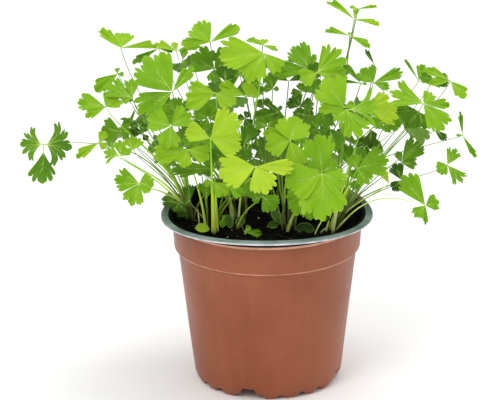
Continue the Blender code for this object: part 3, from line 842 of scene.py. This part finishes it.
def petiole(rng, number, leaf):
    """A leaf's petiole, and how pale it is: all of it for an outer one, a little for the others."""
    joint = Vector((leaf.x, leaf.y, leaf.z))
    x, y = stalk_foot(rng, leaf.crown, joint)
    radius = rng.uniform(*PETIOLE_RADII)
    pale = rng.uniform(*INNER_STALKS)
    if number in OUTER_PETIOLES:
        x, y, radius = OUTER_PETIOLES[number]
        pale = OUTER_STALKS
    start = Vector((x, y, soil_height(x, y) - FOOT_SINK))
    if number in FLAT_PETIOLES:
        path = arch(start, joint, Vector(FLAT_PETIOLES[number]), FLAT_PETIOLE_HOLD, PETIOLE_STEPS)
    else:
        normal = blade_turn(leaf) @ Vector((0.0, 0.0, 1.0))
        arrive = ((joint - start).normalized() * ALONG_REACH + normal * ALONG_NORMAL).normalized()
        path = arch(start, joint, arrive, PETIOLE_HOLD, PETIOLE_STEPS)
    taper = [(1.0 - step / PETIOLE_STEPS) ** PETIOLE_TAPER for step in range(PETIOLE_STEPS + 1)]
    radii = [PETIOLE_TIP + (radius - PETIOLE_TIP) * share for share in taper]
    return tube(path, radii, PETIOLE_SIDES, PETIOLE_FLATNESS), pale


def broken_stalk(x, y, end, radius):
    start = Vector((x, y, soil_height(x, y) - BROKEN_SINK))
    end = Vector(end)
    path = arch(start, end, end - start, PETIOLE_HOLD, BROKEN_STEPS)
    radii = [radius * (1.0 - BROKEN_TAPER * step / BROKEN_STEPS) for step in range(BROKEN_STEPS + 1)]
    return tube(path, radii, PETIOLE_SIDES, PETIOLE_FLATNESS), OUTER_STALKS


def make_crown(number):
    """The low ribbed root crown that the stalks leave, nearly all of it in the compost."""
    x, y = CROWNS[number]
    ground = soil_height(x, y)
    vertices = []
    for radius, height in CROWN_PROFILE:
        for side in range(CROWN_SIDES):
            angle = math.tau * side / CROWN_SIDES
            far = radius * (1.0 + 0.12 * math.sin(5 * angle + number) + 0.08 * math.sin(9 * angle))
            vertices.append((x + far * math.cos(angle), y + far * math.sin(angle), ground + height))
    base = tuple(range(CROWN_SIDES))[::-1]
    top = tuple(range(len(vertices) - CROWN_SIDES, len(vertices)))
    return (vertices, ring_faces(len(CROWN_PROFILE), CROWN_SIDES) + [base, top]), 0.0


def stalk_skin():
    """Juicy skin: inner stalks dark at the foot as painted shade, outer ones nearly white there and green
    above.
    """
    glow = {"Subsurface_Weight": 0.15, "Subsurface_Radius": (0.4, 1.0, 0.2), "Subsurface_Scale": 0.0012}
    skin = Finish("stalk", 0.42, **glow)
    upward = skin.span("Z", 0.100, 0.180)
    # Painted shade: the inner stalks are near black at the compost and lighten upward.
    low_tones = (0.0, (14, 20, 8)), (0.12, (34, 50, 16)), (0.28, (92, 132, 34)), (0.45, (118, 160, 42))
    inner = skin.ramp(upward, *low_tones, (1.0, (88, 122, 38)))
    low_tones = (0.0, (130, 142, 40)), (0.05, (224, 246, 96)), (0.15, (226, 252, 76)), (0.32, (204, 246, 40))
    outer = skin.ramp(upward, *low_tones, (0.5, (168, 222, 38)))
    streaks = skin.noise(260.0, 2.0, stretch=(1.0, 1.0, 0.12))
    low = skin.ramp(upward, (0.12, 0.75), (0.30, 0.0))
    white = skin.mix(1.0, skin.ramp(streaks, (0.46, 0.0), (0.58, 1.0)), low, "MULTIPLY")
    outer = skin.mix(white, outer, (250, 254, 206))
    skin.bump(streaks, 0.15, 0.0003)
    return skin.painted(skin.mix(skin.mark("pale"), inner, outer))


def mark_piece(piece, name, values):
    """A value at each vertex, which the finish reads."""
    piece.data.attributes.new(name, "FLOAT", "POINT").data.foreach_set("value", values)


stalk_material = stalk_skin()
rng = random.Random(12)
for number in CROWNS:
    grown = [make_crown(number)]
    grown += [petiole(rng, index, leaf) for index, leaf in enumerate(LEAVES, 1) if leaf.crown == number]
    grown += [broken_stalk(*stalk) for crown, *stalk in BROKEN_STALKS if crown == number]
    shape = join_shapes([shape for shape, _ in grown])
    stalks = new_piece(f"parsley_stalks_{number:02d}", shape, [stalk_material])
    mark_piece(stalks, "pale", [pale for part, pale in grown for _ in part[0]])
    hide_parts(f"stalks_{number:02d}")


# ---- Leaves ----
# A blade is mostly three leaflets on short stalks. Each leaflet is a thin wedge cut into lobes and blunt
# teeth, and folded a little along its veins. The veins stand out of both faces as paler threads.
BLADE = 0.26
LEAFLET_STALK = 0.02
LONG_STALKS = {"d": 0.10, "t": 0.20}
FOOT_FLARE = (1.30, 1.45)
TIP_FLARE = (1.08, 1.16)
NARROW_FEET = {"d": 0.55, "t": 0.70}
LOBE_CUT = 0.3
SLOT_OPENING = 0.12
LEAFLET_ROWS = (0.03, 0.16, 0.30, 0.45, 0.60, 0.75, 0.88, 0.96, 1.0)
TOOTH_STEPS = 3
TOOTH_POWER = 2.6
CUT_POWER = 18.0
ROUND_CUT = 0.12
VEIN_STEPS = 7
VEIN_SIDES = 5
VEIN_REACH = 0.94
MAIN_VEIN = 0.30
SIDE_VEIN = 0.19
VEIN_TAPER = 0.75
BRANCH_FROM = 0.62
BRANCH_STEP = 0.15
LOWEST_BRANCH = 0.16
STALK_RADII = (0.38, 0.36, 0.32)
STALK_PLACES = (0.0, 0.5, 1.25)
STALK_SIDES = 6
LEAF_SHARP_FOLD = 50
UPPER, UNDER, VEIN = range(3)

# How a leaflet bends: folds up from its midrib and its side veins, a waved edge, a curled tip and a twist.
MIDRIB_FOLD = 0.18
SIDE_FOLD = 0.12
SIDE_VEIN_PLACE = 0.18
EDGE_WAVE = 0.05
WAVES = 9.0
CURL = 0.35
TWIST = 0.4

# Half a leaflet as teeth from the midrib outward: the share of the fan where a tooth ends, its reach as a
# share of the leaflet's length, and the depth of the cut beyond it. Cuts deeper than LOBE_CUT part the
# lobes. Each kind has halves to choose from. Of the blunt-toothed ones, the last is for narrow and small
# leaflets.
LEAFLET_TEETH = {
    "w": [[(0.40, 1.0, 0.06), (1.0, 0.86, 0.16)], [(0.55, 1.0, 0.08), (1.0, 0.84, 0.15)]],
    "b": [
        [(0.12, 1.0, 0.06), (0.34, 0.96, 0.24), (0.56, 0.94, 0.09), (0.78, 0.95, 0.10), (1.0, 0.84, 0.2)],
        [(0.16, 1.0, 0.07), (0.42, 0.97, 0.26), (0.72, 0.96, 0.11), (1.0, 0.86, 0.2)],
        [(0.30, 1.0, 0.25), (0.53, 0.93, 0.09), (0.77, 0.96, 0.10), (1.0, 0.86, 0.2)],
        [(0.28, 1.0, 0.17), (0.62, 0.96, 0.12), (1.0, 0.86, 0.2)],
    ],
    "s": [
        [(0.14, 1.0, 0.10), (0.36, 0.94, 0.34), (0.66, 0.96, 0.11), (1.0, 0.86, 0.18)],
        [(0.34, 1.0, 0.36), (0.64, 0.97, 0.11), (1.0, 0.88, 0.18)],
    ],
    "t": [
        [(0.34, 1.0, 0.20), (0.66, 0.97, 0.22), (1.0, 0.88, 0.2)],
        [(0.40, 1.0, 0.22), (0.72, 0.96, 0.20), (1.0, 0.86, 0.2)],
    ],
    "d": [
        [(0.10, 1.0, 0.12), (0.26, 0.94, 0.42), (0.46, 0.96, 0.13), (0.60, 0.88, 0.50),
         (0.82, 0.96, 0.12), (1.0, 0.84, 0.2)],
        [(0.22, 1.0, 0.40), (0.44, 0.96, 0.12), (0.58, 0.90, 0.52), (0.80, 0.98, 0.12), (1.0, 0.86, 0.2)],
    ],
}
NARROW_HALF = 22
SMALL_LEAFLET = 8.0


def sheet_faces(lines, places):
    """Faces, slots and border of a thin sheet: lines of vertices on top, and the same again below."""
    count = lines * places
    faces, slots = [], []
    for line in range(lines - 1):
        for a in range(line * places, line * places + places - 1):
            b = a + places
            faces += [(a, a + 1, b + 1, b), (b + count, b + 1 + count, a + 1 + count, a + count)]
            slots += [UPPER, UNDER]
    border = list(range(places)) + [line * places + places - 1 for line in range(1, lines)]
    border += list(range(count - 2, count - places - 1, -1))
    border += [line * places for line in range(lines - 2, 0, -1)]
    for here, after in zip(border, border[1:] + border[:1]):
        faces.append((after, here, here + count, after + count))
        slots.append(UPPER)
    return faces, slots, border


class Leaflet:
    """One leaflet: maps a share of its fan and a share of its length to a place on its blade."""

    def __init__(self, rng, size, half, cut):
        self.size = size
        choices = LEAFLET_TEETH[cut]
        if cut == "b":
            choices = choices[-1:] if half < NARROW_HALF or size < SMALL_LEAFLET else choices[:-1]
        self.foot = math.radians(half) * rng.uniform(*FOOT_FLARE) * NARROW_FEET.get(cut, 1.0)
        self.tip = math.radians(half) * rng.uniform(*TIP_FLARE)
        self.halves = {}
        for side in (-1, 1):
            varied = []
            for edge, reach, depth in rng.choice(choices):
                edge = edge if edge == 1.0 else edge * rng.uniform(0.92, 1.08)
                varied.append((edge, reach * rng.uniform(0.95, 1.04), depth * rng.uniform(0.85, 1.15)))
            varied[0] = (varied[0][0], 1.0, varied[0][2])
            self.halves[side] = varied
        self.wave = rng.uniform(0, math.tau)
        self.curl = rng.uniform(-0.15, 0.30)
        self.twist = rng.uniform(-0.3, 0.3)

    def teeth(self):
        """Each tooth from one side to the other: its two edges, its reach, and the cuts beside it."""
        left, right = self.halves[-1][::-1], self.halves[1]
        edges = [(-edge, cut) for edge, _, cut in left] + [(edge, cut) for edge, _, cut in right]
        reaches = [reach for _, reach, _ in left + right[1:]]
        pairs = zip(edges, edges[1:], reaches)
        return [(start, end, reach, cut, end_cut) for (start, cut), (end, end_cut), reach in pairs]

    def columns(self):
        """The fan's columns: share of the fan, and reach there."""
        found = []
        for start, end, reach, start_cut, end_cut in self.teeth():
            for step in range(-TOOTH_STEPS, TOOTH_STEPS):
                cut = start_cut if step < 0 else end_cut
                power = TOOTH_POWER + CUT_POWER * max(0.0, cut - ROUND_CUT)
                share = abs(step) / TOOTH_STEPS
                aside = math.copysign(share ** (1.0 / power), step)
                found.append(((start + end) / 2 + aside * (end - start) / 2, reach * (1.0 - cut * share)))
        found.append((end, reach * (1.0 - end_cut)))
        return found

    def place(self, fan, length):
        """The point at a share of the fan and a distance from the foot, in leaflet lengths."""
        side = 1 if fan >= 0 else -1
        angle = fan * (self.foot + (self.tip - self.foot) * length)
        lobe_from = 0.0
        for edge, reach, cut in self.halves[side][:-1]:
            if cut > LOBE_CUT and abs(fan) > edge:
                bottom = reach * (1.0 - cut)
                angle += side * SLOT_OPENING * smooth((length - bottom) / (1.0 - bottom))
                lobe_from = edge
        x = length * math.cos(angle)
        y = length * math.sin(angle)
        across = abs(fan - side * (lobe_from + SIDE_VEIN_PLACE if lobe_from else 0.0))
        z = abs(y) * MIDRIB_FOLD + SIDE_FOLD * length * across
        z += EDGE_WAVE * length * length * math.sin(self.wave + WAVES * fan)
        z -= self.curl * length**3 * CURL
        z += self.twist * y * length * TWIST
        return Vector((x, y, z)) * self.size

    def blade(self):
        """Vertices, faces, slots and edge values of the thin sheet with both faces."""
        columns = self.columns()
        top = [self.place(fan, reach * row) for fan, reach in columns for row in LEAFLET_ROWS]
        under = [p - Vector((0, 0, BLADE)) for p in top]
        faces, slots, _ = sheet_faces(len(columns), len(LEAFLET_ROWS))
        edge = [float(row == LEAFLET_ROWS[-1]) for row in LEAFLET_ROWS] * len(columns)
        return top + under, faces, slots, edge + edge

    def veins(self):
        """Threads along the blade: one to the tip of each lobe's main tooth, and branches to its others."""
        shapes = []
        spans = self.teeth()
        middles = [((start + end) / 2, reach) for start, end, reach, _, _ in spans]
        lobes = [[]]
        for index, (_, end, _, _, cut) in enumerate(spans):
            lobes[-1].append(index)
            if cut > LOBE_CUT and end != spans[-1][1]:
                lobes.append([])
        for lobe in lobes:
            best = max(lobe, key=lambda k: middles[k][1] - abs(k - sum(lobe) / len(lobe)) * 0.1)
            main, main_reach = middles[best]
            for k in lobe:
                fan, reach = middles[k]
                start = 0.0 if k == best else max(LOWEST_BRANCH, BRANCH_FROM - BRANCH_STEP * abs(k - best))
                path = []
                for step in range(VEIN_STEPS + 1):
                    t = start + (VEIN_REACH - start) * step / VEIN_STEPS
                    blend = 0.0 if k == best else ((t - start) / (VEIN_REACH - start)) ** 0.8
                    here = main + (fan - main) * blend
                    far = (main_reach + (reach - main_reach) * blend) * t
                    path.append(self.place(here, far) - Vector((0, 0, BLADE / 2)))
                thick = MAIN_VEIN if k == best else SIDE_VEIN
                radii = [thick * (1.0 - VEIN_TAPER * step / VEIN_STEPS) for step in range(VEIN_STEPS + 1)]
                shapes.append(tube(path, radii, VEIN_SIDES))
        return join_shapes(shapes)


def make_leaf(name, leaf, materials):
    """A blade with its leaflets, each on its stalk, joined in one place."""
    rng = random.Random(name)
    turn = blade_turn(leaf)
    joint = Vector((leaf.x, leaf.y, leaf.z))
    shapes, slots, edges = [], [], []
    for heading, size, half, *cut in leaf.leaflets:
        cut = cut[0] if cut else "b"
        stalk = LONG_STALKS.get(cut, LEAFLET_STALK)
        leaflet = Leaflet(rng, size * (1.0 - stalk), half, cut)
        swing = Matrix.Rotation(math.radians(heading), 3, "Z")
        foot = Vector((size * stalk, 0.0, 0.0))
        sunk = Vector((0.0, 0.0, -BLADE / 2))
        points, corners, kinds, edge = leaflet.blade()
        veins, vein_faces = leaflet.veins()
        stalk_line = [swing @ (foot * share + sunk) for share in STALK_PLACES]
        neck, neck_faces = tube(stalk_line, STALK_RADII, STALK_SIDES)
        points, veins = [[swing @ (foot + p) for p in part] for part in (points, veins)]
        for part, part_faces in ((points, corners), (veins, vein_faces), (neck, neck_faces)):
            shapes.append(([joint + turn @ p for p in part], part_faces))
        slots += kinds + [VEIN] * (len(vein_faces) + len(neck_faces))
        edges += edge + [0.0] * (len(veins) + len(neck))
    piece = new_piece(name, join_shapes(shapes), materials, slots, LEAF_SHARP_FOLD)
    mark_piece(piece, "edge", edges)
    mark_piece(piece, "tint", [leaf.tint / 100] * len(edges))
    return piece


def leaf_skin(name, under):
    """Fresh green blade that lets light through: net of fine veins, paler rim, and a duller underside.

    The rim is pale partly as painted highlight, and low tints darken the blade partly as painted shade.
    """
    skin = Finish(name, 0.62 if under else 0.46, Specular_IOR_Level=0.22)
    drift = skin.maths("MULTIPLY_ADD", skin.noise(38.0, 3.0), 0.42, -0.21)
    # Low tints are partly painted shade: leaves under the canopy are given darker greens.
    youth_and_shade = skin.maths("ADD", skin.mark("tint"), drift)
    young_tones = (0.5, (134, 188, 20)), (0.75, (172, 214, 32)), (1.0, (216, 234, 60))
    base = skin.ramp(youth_and_shade, (0.0, (42, 76, 12)), (0.25, (82, 134, 14)), *young_tones)
    cells = skin.node("TexVoronoi", {"feature": "DISTANCE_TO_EDGE"}, Vector=skin.place, Scale=620.0)
    net = skin.ramp(cells.outputs["Distance"], (0.0, 1.0), (0.09, 0.0))
    base = skin.mix(skin.mix(0.85, net, (0, 0, 0)), base, (186, 216, 96))
    if under:
        base = skin.mix(0.35, base, (168, 196, 120))
    # Partly painted highlight: the rim is made paler along the blade's outline.
    base = skin.mix(skin.ramp(skin.mark("edge"), (0.2, 0.0), (1.0, 0.4)), base, (206, 226, 120))
    skin.bump(skin.mix(0.5, net, skin.noise(700.0, 2.0)), 0.22, 0.0003)
    glow = skin.node("BsdfTranslucent", Color=skin.mix(0.5, base, (170, 214, 20)))
    both = skin.node("MixShader", Fac=0.34)
    skin.fill(both.inputs[1], skin.shader.outputs[0])
    skin.fill(both.inputs[2], glow.outputs[0])
    skin.fill(skin.nodes["Material Output"].inputs["Surface"], both.outputs[0])
    return skin.painted(base)


# Small undivided leaves at the compost: foot, heading, length, width, rise, downward curl, roll and tint.
SEED_LEAVES = [
    (-49, 13, 178, 8.0, 6.0, 12, 30, -62, 32),
    (-36, -13, 174, 9.0, 6.0, 26, 50, -50, 74),
    (-42, -12, 100, 6.0, 3.0, 70, 200, -30, 95),
    (-33, -10, 60, 5.0, 3.5, 60, 20, 20, 60),
    (-28, -9, 80, 6.0, 4.5, 50, 20, 20, 50),
    (-28, 6, 20, 3.5, 2.5, 50, 40, 40, 80),
    (-23, -10, 110, 9.0, 6.0, 55, 10, 10, 14),
    (-18, -9, 60, 9.0, 6.0, 50, 10, 10, 10),
    (9, -4, 140, 11.0, 6.0, 55, 40, -35, 14),
    (29, -13, 176, 12.0, 7.0, 16, 30, -60, 2),
    (36, 0, 80, 8.0, 4.5, 66, 20, 10, 8),
    (0, -8, 20, 9.0, 5.0, 20, 40, 50, 6),
]
SEED_LEAF_STEPS = 12
SEED_LEAF_HALF = 3
SEED_LEAF_RISE = 1.2
SEED_LEAF_CUP = 0.30


def make_seed_leaf(name, x, y, heading, length, width, rise, curl, roll, tint, materials):
    """An undivided leaf: a cupped sheet along a line that curls downward."""
    heading = math.radians(heading)
    across = Vector((-math.sin(heading), math.cos(heading), 0.0))
    point = Vector((x, y, soil_height(x, y) + SEED_LEAF_RISE))
    top, under = [], []
    for step in range(SEED_LEAF_STEPS + 1):
        t = step / SEED_LEAF_STEPS
        angle = math.radians(rise - curl * t)
        level = math.cos(angle)
        along = Vector((math.cos(heading) * level, math.sin(heading) * level, math.sin(angle)))
        wide = (Matrix.Rotation(math.radians(roll), 3, along) @ across).normalized()
        normal = along.cross(wide)
        half = width / 2 * math.sin(math.pi * (0.05 + 0.93 * t)) ** 0.8
        for column in range(-SEED_LEAF_HALF, SEED_LEAF_HALF + 1):
            u = column / SEED_LEAF_HALF
            top.append(point + wide * half * u + normal * half * SEED_LEAF_CUP * u * u)
            under.append(top[-1] - normal * BLADE)
        point = point + along * length / SEED_LEAF_STEPS
    faces, slots, border = sheet_faces(SEED_LEAF_STEPS + 1, 2 * SEED_LEAF_HALF + 1)
    piece = new_piece(name, (top + under, faces), materials, slots, LEAF_SHARP_FOLD)
    outline = set(border)
    mark_piece(piece, "edge", [float(place in outline) for place in range(len(top))] * 2)
    mark_piece(piece, "tint", [tint / 100] * 2 * len(top))


vein_material = mottled("vein", 0.5, 200.0, (0.3, (160, 200, 70)), (0.7, (196, 220, 110)))
leaf_materials = [leaf_skin("leaf_upper", False), leaf_skin("leaf_under", True), vein_material]
for number, leaf in enumerate(LEAVES, 1):
    piece = make_leaf(f"parsley_leaf_{number:02d}", leaf, leaf_materials)
    if number <= MODELLED:
        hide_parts(f"leaf_{number:02d}")
for number, seed_leaf in enumerate(SEED_LEAVES, 1):
    make_seed_leaf(f"parsley_seed_leaf_{number:02d}", *seed_leaf, leaf_materials)


# ---- Studio ----
# A plain pale floor, an even white surround and four large soft lights. The camera looks at the front of
# the plant from a little above, from far enough away that the pot's sides stay nearly straight.
FLOOR_REACH = 6.0
FLOOR_TONE = 0.96
SURROUND = 0.75
LIGHT_AIM = Vector((0.0, 0.0, 0.15))
CAMERA_TARGET = Vector((-0.0105, 0.0, 0.1157))
CAMERA_DISTANCE = 2.4
CAMERA_RISE = math.radians(19.5)
CAMERA_ROLL = math.radians(-0.5)
FOCAL_LENGTH = 279.1
SENSOR_WIDTH = 36.0

floor_mesh = bpy.data.meshes.new("floor")
corners = [(x * FLOOR_REACH, y * FLOOR_REACH, 0.0) for x, y in ((-1, -1), (1, -1), (1, 1), (-1, 1))]
floor_mesh.from_pydata(corners, [], [(0, 1, 2, 3)])
floor_mesh.materials.append(Finish("pale_floor", 0.9, Base_Color=tone(FLOOR_TONE)).material)
add_object("floor", floor_mesh)

world = bpy.data.worlds.new("white_surround")
world.use_nodes = True
world.node_tree.nodes["Background"].inputs["Color"].default_value = tone(1.0)
world.node_tree.nodes["Background"].inputs["Strength"].default_value = SURROUND
bpy.context.scene.world = world


def soft_light(name, place, size, power):
    lamp = bpy.data.lights.new(name, "AREA")
    lamp.size = size
    lamp.energy = power
    light = add_object(name, lamp)
    light.location = place
    light.rotation_euler = (LIGHT_AIM - Vector(place)).to_track_quat("-Z", "Y").to_euler()


soft_light("key_light", (-0.7, -1.2, 1.6), 0.9, 13.0)
soft_light("front_light", (0.25, -1.7, 0.45), 0.9, 2.2)
soft_light("top_light", (0.5, 0.5, 1.9), 1.2, 14.0)
soft_light("side_light", (1.5, 0.25, 0.6), 0.7, 3.0)

camera_data = bpy.data.cameras.new("camera")
camera_data.lens = FOCAL_LENGTH
camera_data.sensor_width = SENSOR_WIDTH
camera_data.clip_end = 50.0
camera = add_object("camera", camera_data)
back = Vector((0.0, -math.cos(CAMERA_RISE), math.sin(CAMERA_RISE)))
camera.location = CAMERA_TARGET + back * CAMERA_DISTANCE
aim = back.to_track_quat("Z", "Y")
camera.rotation_euler = (aim.to_matrix() @ Matrix.Rotation(CAMERA_ROLL, 3, "Z")).to_euler()
bpy.context.scene.camera = camera
bpy.context.scene.view_settings.view_transform = "Standard"
